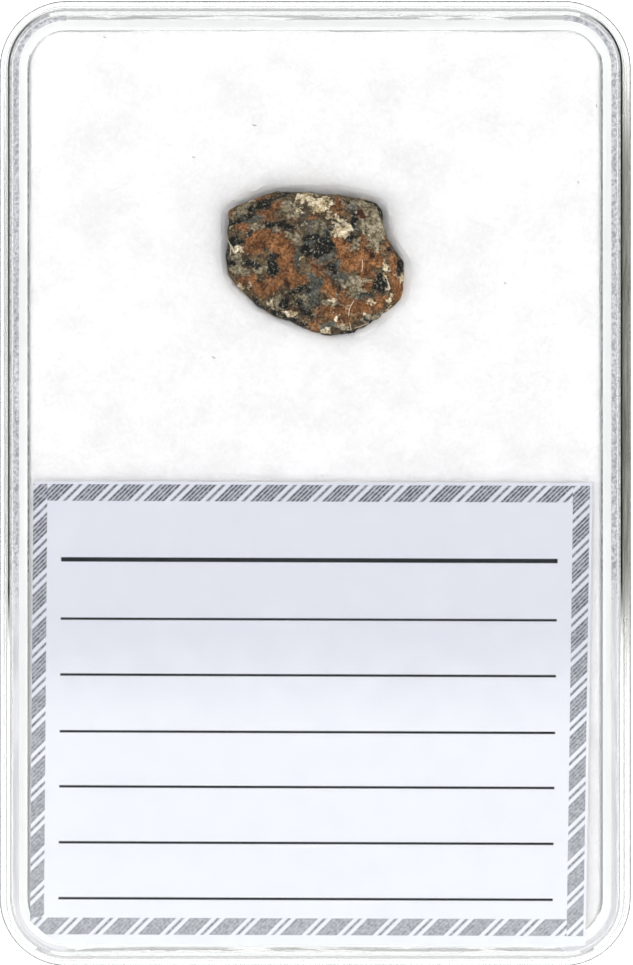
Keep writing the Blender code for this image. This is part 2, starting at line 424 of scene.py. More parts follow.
def makeTray(plastic):
    shoulder, rimTop = tray["shoulder"], tray["rimTop"]
    rimOut, rimIn = tray["rimInset"], tray["rimInset"] + tray["rimWall"]
    piece = startShell("clearTray", 0, shoulder, tray["cornerSteps"])
    pick(piece, "FACE", flatAt(shoulder, 1))
    bpy.ops.mesh.inset(thickness=tray["ledge"] * mm)
    bpy.ops.mesh.inset(thickness=(rimOut - tray["ledge"]) * mm)
    pushFaces(rimTop - shoulder)
    bpy.ops.mesh.inset(thickness=tray["rimWall"] * mm)
    pushFaces(tray["floor"] - rimTop)
    roundPicked(tray["floorRound"], 4)
    roundLoops(piece, tray["foot"], 5, (0, 0))
    roundLoops(piece, tray["shoulderRound"], 3, (shoulder, 0))
    roundLoops(piece, tray["rimRoundOut"], 4, (rimTop, rimOut))
    roundLoops(piece, tray["rimRoundIn"], 3, (rimTop, rimIn))
    bpy.ops.object.mode_set(mode="OBJECT")
    bpy.ops.object.shade_smooth_by_angle(angle=smoothAngle)
    finishPiece(piece, plastic, "clear_plastic", "tray")
    rimEdge = rimTop - scuffsAndEdgeShade["skim"]
    coverFaces(piece, makeRubbedOrShadedPlastic(*scuffsAndEdgeShade["outer"]), lambda height, depth, spot: (
        rimTop - scuffsAndEdgeShade["outerBand"] < height < rimEdge
        and depth < rimOut + tray["rimRoundOut"] and abs(spot.x) > scuffsAndEdgeShade["outerFrom"]))
    coverFaces(piece, makeRubbedOrShadedPlastic(*scuffsAndEdgeShade["ledge"]), lambda height, depth, spot: (
        abs(height - shoulder) < 0.01
        and depth > tray["ledge"] and abs(spot.x) > scuffsAndEdgeShade["ledgeFrom"]))
    # painted shade of the gap between the rim and the wadding, on the rim's inner edge
    coverFaces(piece, makeRubbedOrShadedPlastic(*scuffsAndEdgeShade["inner"]), lambda height, depth, spot: (
        rimTop - scuffsAndEdgeShade["innerBand"] < height < rimEdge
        and rimIn - tray["rimRoundIn"] < depth and abs(spot.x) > scuffsAndEdgeShade["innerFrom"]))


lid = {
    "wall": 0.6, "top": 0.9, "seam": 7.35, "draft": 0.08, "edgeRound": 0.13, "innerBevel": 0.12,
    "lipRound": 0.12, "cornerSteps": 16,
}


def makeLid(plastic):
    height, seam, wall = boxHigh.z / mm, lid["seam"], lid["wall"]
    piece = startShell("clearLid", seam, height, lid["cornerSteps"])
    pick(piece, "FACE", flatAt(height, 1))
    narrower = [(size - 2 * lid["draft"]) / size for size in (boxWidth, boxLength)]
    bpy.ops.transform.resize(value=(*narrower, 1))
    pick(piece, "FACE", flatAt(seam, -1))
    bpy.ops.mesh.inset(thickness=wall * mm)
    pushFaces(height - lid["top"] - seam)
    roundPicked(lid["innerBevel"], 1)
    roundLoops(piece, lid["edgeRound"], 6, (height, 0))
    roundLoops(piece, lid["lipRound"], 3, (seam, 0), (seam, wall))
    start, end = grime["span"]
    bpy.ops.mesh.select_all(action="SELECT")      # a cut where the grime in the seam ends
    bpy.ops.mesh.bisect(plane_co=(0, start * mm, 0), plane_no=(0, 1, 0))
    bpy.ops.object.mode_set(mode="OBJECT")
    bpy.ops.object.shade_smooth_by_angle(angle=smoothAngle)
    finishPiece(piece, plastic, "clear_plastic", "lid")
    # on the left only the inner edge of the lip is dirty
    coverFaces(piece, makeGrimyPlastic(), lambda height, depth, spot: (
        height < seam + lid["lipRound"] and depth < wall and start < spot.y < end
        and (spot.x > grime["sideFrom"]
             or spot.x < -grime["sideFrom"] and depth > wall - lid["lipRound"])))


# Wadding: a loose pad of bleached white fibre, so bright, soft and matt with stray hairs

padding = {
    "press": 0.14,                # how far the loose fibres reach past the pad's own sides
    "voxel": 0.3, "soften": 3,
    "swell": 0.22, "swellSize": 4.0, "fluff": 0.1, "fluffSize": 0.9,
    "level": 14.2, "crown": 13,   # height of its top, and what counts as top
    "edge": 1.9, "edgeFall": 0.15, "edgeSize": 0.12,    # where and how it drops at the walls
    "endSwell": 0.29, "endTurn": 2,                     # how much less at the short walls
    # how deep and wide the nest round the stone is, lower down and above it in the photo
    "nestLow": 0.75, "nestHigh": 1.6, "nestSize": 0.42, "nestTurn": 5, "nestReach": 5,
    "tuft": 0.06, "tuftSize": 0.6,
    "bed": 9, "bedSlope": 2.5,    # what counts as the stone's bed, and how steep its sides are
    "steep": 0.45,                # up part of the normal under which the stone's side begins
}


def treeOf(mesh):
    return BVHTree.FromPolygons([v.co.copy() for v in mesh.vertices],
                                [tuple(p.vertices) for p in mesh.polygons])


def remeshEvenly(piece, voxel, softenings):
    remesh = piece.modifiers.new("even mesh", "REMESH")
    remesh.mode = "VOXEL"
    remesh.voxel_size = voxel * mm
    soften = piece.modifiers.new("soften", "SMOOTH")
    soften.factor = 0.5
    soften.iterations = softenings


def addNoiseShift(piece, name, size, strength):
    # pushes the surface in and out by a cloud pattern of a size in mm
    texture = bpy.data.textures.new(name, "CLOUDS")
    texture.noise_scale = size * mm
    texture.noise_depth = 2
    shift = piece.modifiers.new(name, "DISPLACE")
    shift.texture = texture
    shift.texture_coords = "GLOBAL"
    shift.strength = strength * mm
    shift.mid_level = 0.5


def makeWaddingMaterial():
    # light from the table shines through it a little
    material, tree, shader = newMaterial(
        "bleachedWadding", Roughness=0.95, Specular_IOR_Level=0.1,
        Emission_Color=linear("#FFFFFF"), Emission_Strength=0.105)
    material.cycles.emission_sampling = "NONE"
    add = partial(addNode, tree)
    coords = add("TexCoord", output="Object")
    fibres = add("TexNoise", {"Vector": coords, "Scale": 1 / (0.35 * mm), "Detail": 4.0,
                              "Distortion": 1.5})
    clumps = add("TexNoise", {"Vector": coords, "Scale": 1 / (2.5 * mm), "Detail": 3.0})
    tint = add("Math", (fibres, clumps), operation="ADD")
    tint = add("MapRange", (tint, 0.7, 1.2))
    colour = add("Mix", {0: tint, 6: "#E1DFE0", 7: "#EFEDEE"}, 2, data_type="RGBA")
    tree.links.new(colour, shader.inputs["Base Color"])
    bump = add("Bump", {"Height": fibres, "Strength": 0.5, "Distance": 0.08 * mm})
    tree.links.new(bump, shader.inputs["Normal"])
    return material


def makePadding():
    piece = copyOfNode("padding", "whiteWadding")
    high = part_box("padding")[1]
    wider = [1 + padding["press"] * mm / high[axis] for axis in (0, 1)]
    for vert in piece.data.vertices:
        # the loose fibres press against the walls all round
        vert.co.x *= wider[0]
        vert.co.y *= wider[1]
    remeshEvenly(piece, padding["voxel"], padding["soften"])
    addNoiseShift(piece, "swell", padding["swellSize"], padding["swell"])
    addNoiseShift(piece, "fluff", padding["fluffSize"], padding["fluff"])
    applyModifiers(piece)
    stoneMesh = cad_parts["meteorite"].data
    stoneTree = treeOf(stoneMesh)
    rim = [v.co.copy() for v in stoneMesh.vertices if abs(v.normal.z) < padding["steep"]]
    rimTree = KDTree(len(rim))
    for number, spot in enumerate(rim):
        rimTree.insert((spot.x, spot.y, 0), number)
    rimTree.balance()
    middle = stone["place"][1] * mm
    for vert in piece.data.vertices:
        x, y, z = vert.co
        depth = depthInside(vert.co)
        # it stays level nearly up to the walls, and swells against the two short ones
        if z > padding["crown"] * mm:
            nearEnd = (boxHigh.x - abs(x)) - (boxHigh.y - abs(y))
            nearEnd = min(max(0.5 + nearEnd / (padding["endTurn"] * mm), 0), 1)
            fall = ((padding["edgeFall"] - padding["endSwell"] * nearEnd)
                    * math.exp((padding["edge"] - depth) / padding["edgeSize"]))
            z = max(z, (padding["level"] - fall) * mm)
        # and the fibres stand up round the stone, with a deeper fold above it in the photo
        away = rimTree.find((x, y, 0))[2] / mm
        if away < padding["nestReach"] and z > padding["bed"] * mm:
            upper = min(max(0.5 + (y - middle) / (padding["nestTurn"] * mm), 0), 1)
            nest = padding["nestLow"] + (padding["nestHigh"] - padding["nestLow"]) * upper
            size = padding["nestSize"] * (1 + upper)
            under = stoneTree.ray_cast(Vector((x, y, 0)), Vector((0, 0, 1)))[0]
            if under is None:
                tuft = noise.noise(vert.co / (padding["tuftSize"] * mm)) * padding["tuft"]
                z = (padding["level"] - nest * math.exp(-away / size) + tuft) * mm
            else:
                bed = padding["level"] - nest - padding["bedSlope"] * away
                z = max(min(z, under.z), bed * mm)
        vert.co.z = z
    bpy.ops.object.shade_smooth()
    finishPiece(piece, makeWaddingMaterial(), "wadding", "padding")
    return piece


# Paper label: laser printed on plain office paper and cut out with scissors

label = {
    "thickness": 0.13, "cuts": 60,
    "bow": 0.05, "waves": (3.4, 3.0, 4.2), "waviness": 0.8,
    # the field inside the border, and where its lower and upper corners lie on the box
    "field": (31.36, 24.96),
    "corners": ((-16.222, -25.994), (15.054, -26.096), (-16.024, -1.03), (15.419, -1.144)),
    "border": 1.0,                # width of the striped border
    "margins": (0.83, 1.6, 1.15, 1.17),      # paper left, below, right and above the field
    # the lower left corner is snipped off along these points, from the corner itself
    "snips": ((0, 1.5), (0.4, 0.92), (1.0, 0.48), (1.75, 0)),
    "period": {"across": 2.13, "along": 2.077},    # of the stripes, on level and upright sides
    "firstStroke": {"top": 1.52, "bottom": 1.45, "left": 1.37, "right": 1.44},
    "rows": (21.45, 17.9, 14.55, 11.15, 7.85, 4.5, 1.15),   # ruled lines, above the field's edge
    "rowSpan": (0.85, 30.5), "rowThickness": 0.15,
}


def makeLabelMaterial():
    material, tree, shader = newMaterial("printedOfficePaper", Roughness=0.9,
                                         Specular_IOR_Level=0.2)
    add = partial(addNode, tree)
    uv = add("UVMap", uv_map="print")
    # the map holds a tenth of a metre each way
    place = add("VectorMath", (uv, (100, 100, 1)), operation="MULTIPLY")
    x, y = (add("SeparateXYZ", (place,), axis) for axis in "XY")

    def between(value, low, high, soft=0.02):
        # 1 where the value lies between two others, with a soft edge of toner
        begins = add("MapRange", (value, low - soft, low + soft))
        ends = add("MapRange", (value, high - soft, high + soft, 1.0, 0.0))
        return add("Math", (begins, ends), operation="MULTIPLY")

    width, length = label["field"]
    wide = label["border"]

    def stripes(side):
        # five strokes close together and one apart, all at an eighth of the period
        level = side in ("top", "bottom")
        period = label["period"]["across" if level else "along"]
        middle = {"top": length + wide / 2, "bottom": -wide / 2, "left": -wide / 2,
                  "right": width + wide / 2}[side]
        along, across = (x, y) if level else (y, x)
        slant = add("Math", (across, middle), operation="SUBTRACT")
        part = add("Math", (along, slant), operation="SUBTRACT")
        phase = 6.5 / 8 - label["firstStroke"][side] / period
        for operation, number in (("DIVIDE", period), ("ADD", phase), ("FRACT", 0.0)):
            part = add("Math", (part, number), operation=operation)
        stroke = part
        for operation, number in (("MULTIPLY", 8.0), ("FRACT", 0.0), ("SUBTRACT", 0.5),
                                  ("ABSOLUTE", 0.0)):
            stroke = add("Math", (stroke, number), operation=operation)
        cores = add("MapRange", (stroke, 0.14, 0.36, 1.0, 0.0))
        blocks = between(part, 0.0, 5 / 8, 0.012)
        single = between(part, 6 / 8, 7 / 8, 0.02)
        band = (between(y, middle - wide / 2, middle + wide / 2) if level
                else between(x, middle - wide / 2, middle + wide / 2))
        reach = (between(x, -wide, width + wide) if level
                 else between(y, 0.0 if side == "left" else -wide, length + wide))
        return blocks, single, cores, add("Math", (band, reach), operation="MULTIPLY")

    coords = add("TexCoord", output="Object")
    cloudy = add("TexNoise", {"Vector": coords, "Scale": 1 / (1.6 * mm), "Detail": 4.0})
    pulp = add("TexNoise", {"Vector": coords, "Scale": 1 / (0.16 * mm), "Detail": 2.0})
    up = add("MapRange", (y, 0.0, length))
    # the print is crisp at the top, where the paper touches the lid, and soft further down
    crisp = add("MapRange", (up, 0.2, 1.0, 0.08, 0.55))
    weight = add("MapRange", (up, 0.0, 1.0, 0.62, 0.74))
    ink = 0.0
    for side in ("bottom", "top", "left", "right"):
        blocks, single, cores, band = stripes(side)
        lines = add("Math", (cores, 0.5), operation="SUBTRACT")
        lines = add("Math", (lines, crisp, weight), operation="MULTIPLY_ADD")
        alone = add("MapRange", (cores, 0.0, 1.0, 0.7, 1.25))
        for factor in (weight, single):
            alone = add("Math", (alone, factor), operation="MULTIPLY")
        drawn = add("Math", (blocks, lines, alone), operation="MULTIPLY_ADD")
        drawn = add("Math", (drawn, band), operation="MULTIPLY")
        # upright sides run through the upper corners and cover what the top draws there
        bare = add("Math", (1.0, band), operation="SUBTRACT")
        ink = add("Math", (ink, bare, drawn), operation="MULTIPLY_ADD")

    rows = 0.0
    for number, height in enumerate(label["rows"]):
        half = label["rowThickness"] * (0.9 if number == 0 else 0.5)
        line = between(y, height - half, height + half, 0.025)
        rows = add("Math", (rows, line), operation="MAXIMUM")
    rows = add("Math", (rows, between(x, *label["rowSpan"], 0.03)), operation="MULTIPLY")

    # painted shade: the paper is darker towards its upper end, which lies lower in the wadding's
    # shade, with cloudy tone over all
    paperLightAndTone = add("MapRange", (up, 0.45, 0.68, 1.0, 0.0))
    cloudy = add("Math", (cloudy, 0.5), operation="SUBTRACT")
    paperLightAndTone = add("Math", (cloudy, 0.7, paperLightAndTone), operation="MULTIPLY_ADD")
    paper = add("Mix", {0: paperLightAndTone, 6: "#DADBE4", 7: "#ECEDF3"}, 2, data_type="RGBA")
    worn = add("MapRange", (pulp, 0.3, 0.65, 0.68, 1.08))
    worn = add("Math", (ink, worn), operation="MULTIPLY")
    hatched = add("Mix", {0: worn, 6: paper, 7: "#4A4D56"}, 2, data_type="RGBA")
    ruled = add("Mix", {0: rows, 6: hatched, 7: "#1B2023"}, 2, data_type="RGBA")
    tree.links.new(ruled, shader.inputs["Base Color"])
    bump = add("Bump", {"Height": pulp, "Strength": 0.25, "Distance": 0.02 * mm})
    tree.links.new(bump, shader.inputs["Normal"])
    return material


def makeLabel():
    low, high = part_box("label")
    level = (low.z + high.z) / 2
    width, length = label["field"]
    left, below, right, above = label["margins"]
    bpy.ops.object.select_all(action="DESELECT")
    bpy.ops.mesh.primitive_plane_add(size=1, location=((width + right - left) / 2 * mm,
                                                       (length + above - below) / 2 * mm, 0))
    piece = bpy.context.object
    piece.name = "paperLabel"
    piece.scale = ((left + width + right) * mm, (below + length + above) * mm, 1)
    bpy.ops.object.transform_apply(location=True, rotation=True, scale=True)
    onlySelect(piece)
    bpy.ops.object.mode_set(mode="EDIT")
    bpy.ops.mesh.select_all(action="SELECT")
    bpy.ops.mesh.subdivide(number_cuts=label["cuts"])
    for (x, y), (nextX, nextY) in zip(label["snips"], label["snips"][1:]):
        bpy.ops.mesh.select_all(action="SELECT")
        bpy.ops.mesh.bisect(plane_co=((x - left) * mm, (y - below) * mm, 0),
                            plane_no=(nextY - y, x - nextX, 0), clear_outer=True)
    bpy.ops.object.mode_set(mode="OBJECT")
    printMap = piece.data.uv_layers.new(name="print")
    for loop in piece.data.loops:
        spot = piece.data.vertices[loop.vertex_index].co
        printMap.data[loop.index].uv = (spot.x / 0.1, spot.y / 0.1)
    lowerLeft, lowerRight, upperLeft, upperRight = (Vector(c) * mm for c in label["corners"])
    acrossWaves, alongWaves, waveSeed = label["waves"]
    for vert in piece.data.vertices:
        # the cut sheet isn't quite square, bows up a little and has faint waves from the wadding
        u, v = vert.co.x / (width * mm), vert.co.y / (length * mm)
        lower, upper = lowerLeft.lerp(lowerRight, u), upperLeft.lerp(upperRight, u)
        spot = lower + (upper - lower) * v
        wave = noise.noise(Vector((u * acrossWaves, v * alongWaves, waveSeed)))
        rise = label["bow"] * (4 * u * (1 - u) * 4 * v * (1 - v) + label["waviness"] * wave)
        vert.co = (spot.x, spot.y, level + rise * mm)
    thick = piece.modifiers.new("paper thickness", "SOLIDIFY")
    thick.thickness = label["thickness"] * mm
    thick.offset = 0
    applyModifiers(piece)
    bpy.ops.object.shade_smooth_by_angle(angle=smoothAngle)
    finishPiece(piece, makeLabelMaterial(), "paper", "label")


# The stone: a broken breccia, iron-stained matrix with pale, grey and black clasts

stone = {
    "place": (0.07, 13.2),        # middle of the outline that was measured from the photo
    "voxel": 0.068, "soften": 3,
    "grainSize": (0.34, 0.16), "grain": (0.05, 0.035),
    "warp": ((0.55, 0.16), (0.22, 0.07)),   # size and reach of the ragged clast edges
    "sharpness": 2.2,             # of the clasts' edges
    "turnLow": 0.1, "turnSpan": 0.5,        # where the placed clasts give way to scattered ones
    # size, share and seed of the scattered ones
    "scattered": {"rust": (1.5, 0.62, 11), "red": (0.8, 0.02, 23), "olive": (1.1, 0.42, 37),
                  "grey": (0.9, 0.22, 41), "cream": (0.6, 0.12, 53), "black": (0.7, 0.18, 61)},
    # pale clasts stand a little proud, and black and red ones are sunk
    "relief": {"cream": 0.05, "black": -0.07, "red": -0.06},
    # lumps in mm, detail, shift and roughness of the three patterns in its colours
    "patterns": {"grain": (0.17, 3.0, 0.0, 0.7), "lumps": (0.55, 3.0, 0.7, 0.62),
                 "sparkle": (0.13, 1.5, 0.3, 0.62)},
    # how far into a clast its colour starts and is full, for edges that are sharper or softer
    "edges": {"rust": (0.3, 0.72), "olive": (0.36, 0.62), "grey": (0.36, 0.62),
              "red": (0.36, 0.62), "cream": (0.36, 0.58), "black": (0.24, 0.46)},
}

# Clasts seen on the upper face, from the middle of the stone, in mm:
# x, y, half length, half width, and turn in degrees
clasts = {
    "rust": (
        (-3.0, 1.35, 1.25, 0.55, 8), (-2.0, 1.05, 0.8, 0.8, 0), (-3.7, 0.85, 0.75, 0.36, 10),
        (-1.75, 0.1, 0.6, 0.95, 0), (-1.5, -0.75, 0.65, 0.5, 0), (-0.9, -1.05, 0.5, 0.18, 0),
        (-4.05, -1.0, 0.65, 0.38, 0), (-3.4, -1.5, 0.95, 0.45, -15), (-2.6, -1.2, 0.55, 0.7, 0),
        (-3.1, 2.8, 0.48, 0.38, 0), (-2.45, 3.3, 0.55, 0.28, 30), (-3.4, 3.85, 0.8, 0.16, 22),
        (-4.55, 3.6, 0.7, 0.1, 28), (-4.4, 2.2, 0.45, 0.3, 0), (1.3, 3.5, 0.32, 0.5, 0),
        (-0.1, 2.85, 0.35, 0.22, 0), (1.3, 2.85, 0.5, 0.13, 10), (-0.15, 2.2, 0.18, 0.3, 0),
        (0.3, -0.15, 0.65, 0.5, 0), (2.3, 0.15, 1.15, 0.5, 0), (1.5, 0.5, 0.35, 0.6, 0),
        (1.35, 1.3, 0.32, 0.42, 0), (3.0, 0.85, 0.85, 0.45, 0), (2.9, -0.35, 0.5, 0.55, 0),
        (3.5, 0.2, 0.5, 0.38, 0), (3.0, -1.35, 0.55, 0.3, 0), (0.85, -1.55, 0.5, 0.42, 0),
        (1.5, -1.85, 0.4, 0.18, 0), (2.6, -2.6, 1.1, 0.38, 5), (3.65, -2.25, 0.6, 0.4, 0),
        (1.2, -2.9, 1.0, 0.36, 0), (0.3, -3.5, 0.85, 0.22, 15), (2.6, -3.3, 0.4, 0.14, -12),
        (4.85, -1.5, 0.42, 1.3, 0), (4.3, 1.2, 0.2, 0.85, 18), (4.6, -0.1, 0.35, 0.5, 0),
        (-1.35, 2.72, 0.32, 0.16, -10), (-1.7, -2.85, 0.5, 0.12, -15),
        (1.75, 0.95, 0.5, 0.55, 0), (1.45, -2.3, 0.8, 0.3, 0), (0.6, -1.0, 0.3, 0.3, 0),
        (2.2, -2.0, 0.45, 0.2, 10), (3.5, -1.0, 0.3, 0.5, 0), (-0.2, -3.85, 0.4, 0.25, 0),
        (2.7, 1.55, 0.5, 0.25, 0), (1.5, -3.45, 0.5, 0.2, 0), (-5.0, 3.1, 0.3, 0.2, 30),
    ),
    "red": (
        (2.7, 2.95, 0.26, 0.2, -15), (2.9, -4.05, 0.95, 0.17, 8), (3.35, 0.4, 0.32, 0.2, -20),
        (-1.8, -1.3, 0.12, 0.3, -10), (-1.65, -2.7, 0.2, 0.1, 0), (-1.9, -1.98, 0.22, 0.12, 0),
    ),
    "olive": (
        (-4.45, 3.12, 0.85, 0.26, 26), (-3.45, 2.12, 0.5, 0.22, 5), (-2.3, 2.15, 0.24, 0.2, 0),
        (-1.5, 3.2, 0.72, 0.52, -25), (-1.4, 1.5, 0.5, 0.26, -50), (3.35, -3.3, 0.75, 0.32, 5),
        (0.6, -3.75, 0.45, 0.34, 0), (1.6, -3.85, 0.45, 0.16, 0), (-2.25, -2.35, 0.28, 0.4, 0),
        (-4.85, 0.3, 0.45, 0.28, 0), (2.1, -1.1, 0.95, 0.32, 0), (2.4, -1.75, 0.6, 0.28, 0),
        (3.35, 2.4, 1.0, 1.1, 0), (2.6, 3.6, 1.0, 0.3, 0), (3.4, 1.1, 0.3, 0.35, 0),
        (0.9, -2.5, 0.8, 0.22, -5), (-4.6, -0.35, 0.6, 0.3, -20), (-3.2, -0.35, 0.5, 0.25, 0),
        (0.25, 1.95, 0.55, 0.35, 0), (-1.0, -2.2, 0.7, 0.25, 0), (2.3, 1.1, 0.25, 0.4, 0),
    ),
    "grey": (
        (0.0, -1.25, 0.42, 0.5, 0), (-0.15, -2.1, 0.28, 0.42, 0), (-0.35, -0.9, 0.3, 0.2, 0),
        (-0.6, -2.55, 0.3, 0.13, -35), (-3.8, 2.65, 0.75, 0.22, 8), (0.85, -0.2, 0.5, 0.25, 0),
        (-0.5, 2.35, 0.6, 0.18, 0), (1.25, -0.75, 0.75, 0.24, -5), (-0.5, -1.7, 0.3, 0.18, 0),
        (0.65, -3.75, 0.35, 0.22, 25), (-0.65, 2.75, 0.18, 0.18, 0), (2.2, 3.3, 0.28, 0.2, 50),
        (-0.35, 1.5, 0.55, 0.5, 0), (0.55, 1.7, 0.35, 0.5, 0), (-1.1, 0.4, 0.2, 0.5, 0),
        (2.25, 2.6, 0.14, 0.5, 15), (0.5, 0.2, 0.6, 0.22, 20), (3.0, -2.0, 0.5, 0.2, 0),
    ),
    "cream": (
        (-0.35, 3.8, 0.55, 0.32, -15), (0.1, 3.45, 0.6, 0.28, -15), (0.5, 3.7, 0.45, 0.22, 0),
        (0.72, 2.8, 0.23, 0.15, 40), (1.25, 2.4, 0.45, 0.24, -20), (1.5, 1.85, 0.42, 0.16, -25),
        (1.95, 2.05, 0.24, 0.2, 0), (-0.9, 3.9, 0.3, 0.26, 0), (-5.12, 2.18, 0.09, 0.13, 0),
        (-4.75, 0.9, 0.3, 0.13, -20), (-2.65, -2.5, 0.08, 0.2, 15), (-1.6, -3.08, 0.42, 0.1, -5),
        (5.15, -0.9, 0.13, 0.2, 0), (3.65, -0.68, 0.14, 0.08, 20), (3.88, -0.95, 0.08, 0.1, 0),
        (-1.05, 3.3, 0.35, 0.1, -35), (-4.4, -1.38, 0.25, 0.1, -5), (0.95, -2.25, 0.16, 0.06, -10),
        (0.6, -4.1, 0.28, 0.08, 5), (2.85, 1.7, 0.16, 0.05, -30), (-0.85, 0.25, 0.12, 0.12, 0),
        (4.12, -0.35, 0.07, 0.35, 12), (4.27, -1.1, 0.05, 0.4, 5), (4.38, -2.15, 0.1, 0.25, 0),
        (4.3, -2.7, 0.07, 0.25, -15), (2.75, -3.15, 0.2, 0.06, -45), (1.15, -3.25, 0.2, 0.1, 30),
        (3.2, -2.35, 0.09, 0.08, 0), (-0.7, 2.42, 0.14, 0.08, 0), (-3.65, 3.45, 0.2, 0.14, -30),
    ),
    "black": (
        (0.5, 1.0, 0.55, 0.45, 20), (-0.05, 0.52, 0.55, 0.16, 15), (0.72, 1.35, 0.22, 0.5, 0),
        (-0.6, 0.85, 0.3, 0.25, 0), (-0.2, 1.55, 0.5, 0.18, 0), (0.9, -0.32, 0.36, 0.12, -15),
        (3.78, -1.2, 0.36, 0.55, 12), (-1.85, 2.3, 0.5, 0.17, -12), (-2.7, 2.22, 0.25, 0.22, 0),
        (-5.0, 2.5, 0.38, 0.1, 8), (-3.9, 3.12, 0.4, 0.12, 32), (-3.15, 3.45, 0.45, 0.2, 15),
        (-1.85, 4.22, 0.42, 0.1, 10), (-2.65, 3.82, 0.2, 0.08, 20), (-3.85, -0.02, 0.36, 0.14, -5),
        (-2.55, -0.1, 0.2, 0.5, 0), (-2.8, -0.6, 0.1, 0.2, 20), (-5.0, -0.05, 0.24, 0.18, 0),
        (-4.8, 1.4, 0.4, 0.16, -10), (-5.32, 0.35, 0.08, 0.3, 0), (-1.15, -1.6, 0.5, 0.14, 12),
        (-1.85, -2.35, 0.18, 0.26, 0), (-0.68, -2.95, 0.14, 0.42, 40), (-1.1, -2.3, 0.14, 0.08, 0),
        (2.15, 1.6, 0.2, 0.12, 0), (2.28, 2.55, 0.09, 0.34, 18), (2.32, 3.05, 0.13, 0.08, 0),
        (1.85, 3.7, 0.09, 0.07, 0), (3.2, 3.72, 0.5, 0.1, -15), (3.95, 3.2, 0.13, 0.45, 15),
        (3.05, -1.9, 0.24, 0.1, 0), (3.15, -3.42, 0.24, 0.09, -25), (5.1, -0.2, 0.14, 0.34, 0),
        (4.6, 0.7, 0.09, 0.3, 25), (1.85, -4.2, 0.3, 0.07, 10), (-3.5, -2.45, 0.5, 0.12, -32),
        (-2.5, -2.95, 0.28, 0.12, -30), (0.7, 2.62, 0.4, 0.05, -25), (-4.0, 1.75, 0.1, 0.12, 0),
        (-1.2, -3.6, 0.5, 0.08, -25), (1.3, -1.45, 0.05, 0.2, 0),
    ),
}


# dark and pale grain, first in the dull lumps and then in the bright ones
stoneColours = {
    "matrix": ("#2A2116", "#6E5B43", "#473A29", "#8A775C"),
    "rust": ("#4B2F18", "#80512C", "#643F24", "#B68157"),
    "red": ("#180B05", "#43200F", "#29130A", "#62311A"),
    "olive": ("#3F3828", "#877A60", "#665D48", "#BBAF96"),
    "grey": ("#272826", "#4F514A", "#373834", "#6B6B62"),
    "cream": ("#7A6440", "#CBB88F", "#B39A70", "#FFF6E0"),
    "black": ("#010101", "#0D0C09", "#050403", "#1C1A14"),
}


def clastField(points, patches):
    # 0.5 on the edge of a clast, more inside and less outside, for each point of the surface
    field, sharp = np.full(len(points), -1.0), stone["sharpness"]
    for x, y, longHalf, shortHalf, turn in patches:
        c, s = math.cos(math.radians(turn)), math.sin(math.radians(turn))
        along = (points[:, 0] - x) * c + (points[:, 1] - y) * s
        side = -(points[:, 0] - x) * s + (points[:, 1] - y) * c
        distance = np.hypot(along / longHalf, side / shortHalf)
        field = np.maximum(field, 0.5 + (1 - distance) * min(longHalf, shortHalf) * sharp)
    return field


def noiseField(points, size, seed):
    # smooth random field over the surface, about -1 to 1
    return np.array([noise.noise(Vector(p) / size + Vector((seed, seed * 0.7, 3.1)))
                     for p in points]) * 2


def paintClasts(piece):
    # writes one field for each kind of clast, placed one by one above and by noise further down
    count = len(piece.data.vertices)
    places = np.zeros(count * 3)
    piece.data.vertices.foreach_get("co", places)
    places = places.reshape(-1, 3) / mm
    places[:, 0] -= stone["place"][0]
    places[:, 1] -= stone["place"][1]
    low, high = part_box("meteorite")
    middle = (low.z + high.z) / 2 / mm
    warped = places.copy()
    for size, reach in stone["warp"]:
        for axis in (0, 1):
            warped[:, axis] += noiseField(places, size, 5.0 + axis * 9 + size) * reach
    upper = np.clip((places[:, 2] - middle + stone["turnLow"]) / stone["turnSpan"], 0, 1)
    fields = {}
    for kind, patches in clasts.items():
        size, share, seed = stone["scattered"][kind]
        scattered = 0.25 + share * 0.45 + noiseField(places, size, seed) * 0.55
        fields[kind] = clastField(warped, patches) * upper + scattered * (1 - upper)
        attribute = piece.data.attributes.new(kind, "FLOAT", "POINT")
        attribute.data.foreach_set("value", np.clip(fields[kind], -1, 2).astype(np.float32))
    return places, fields


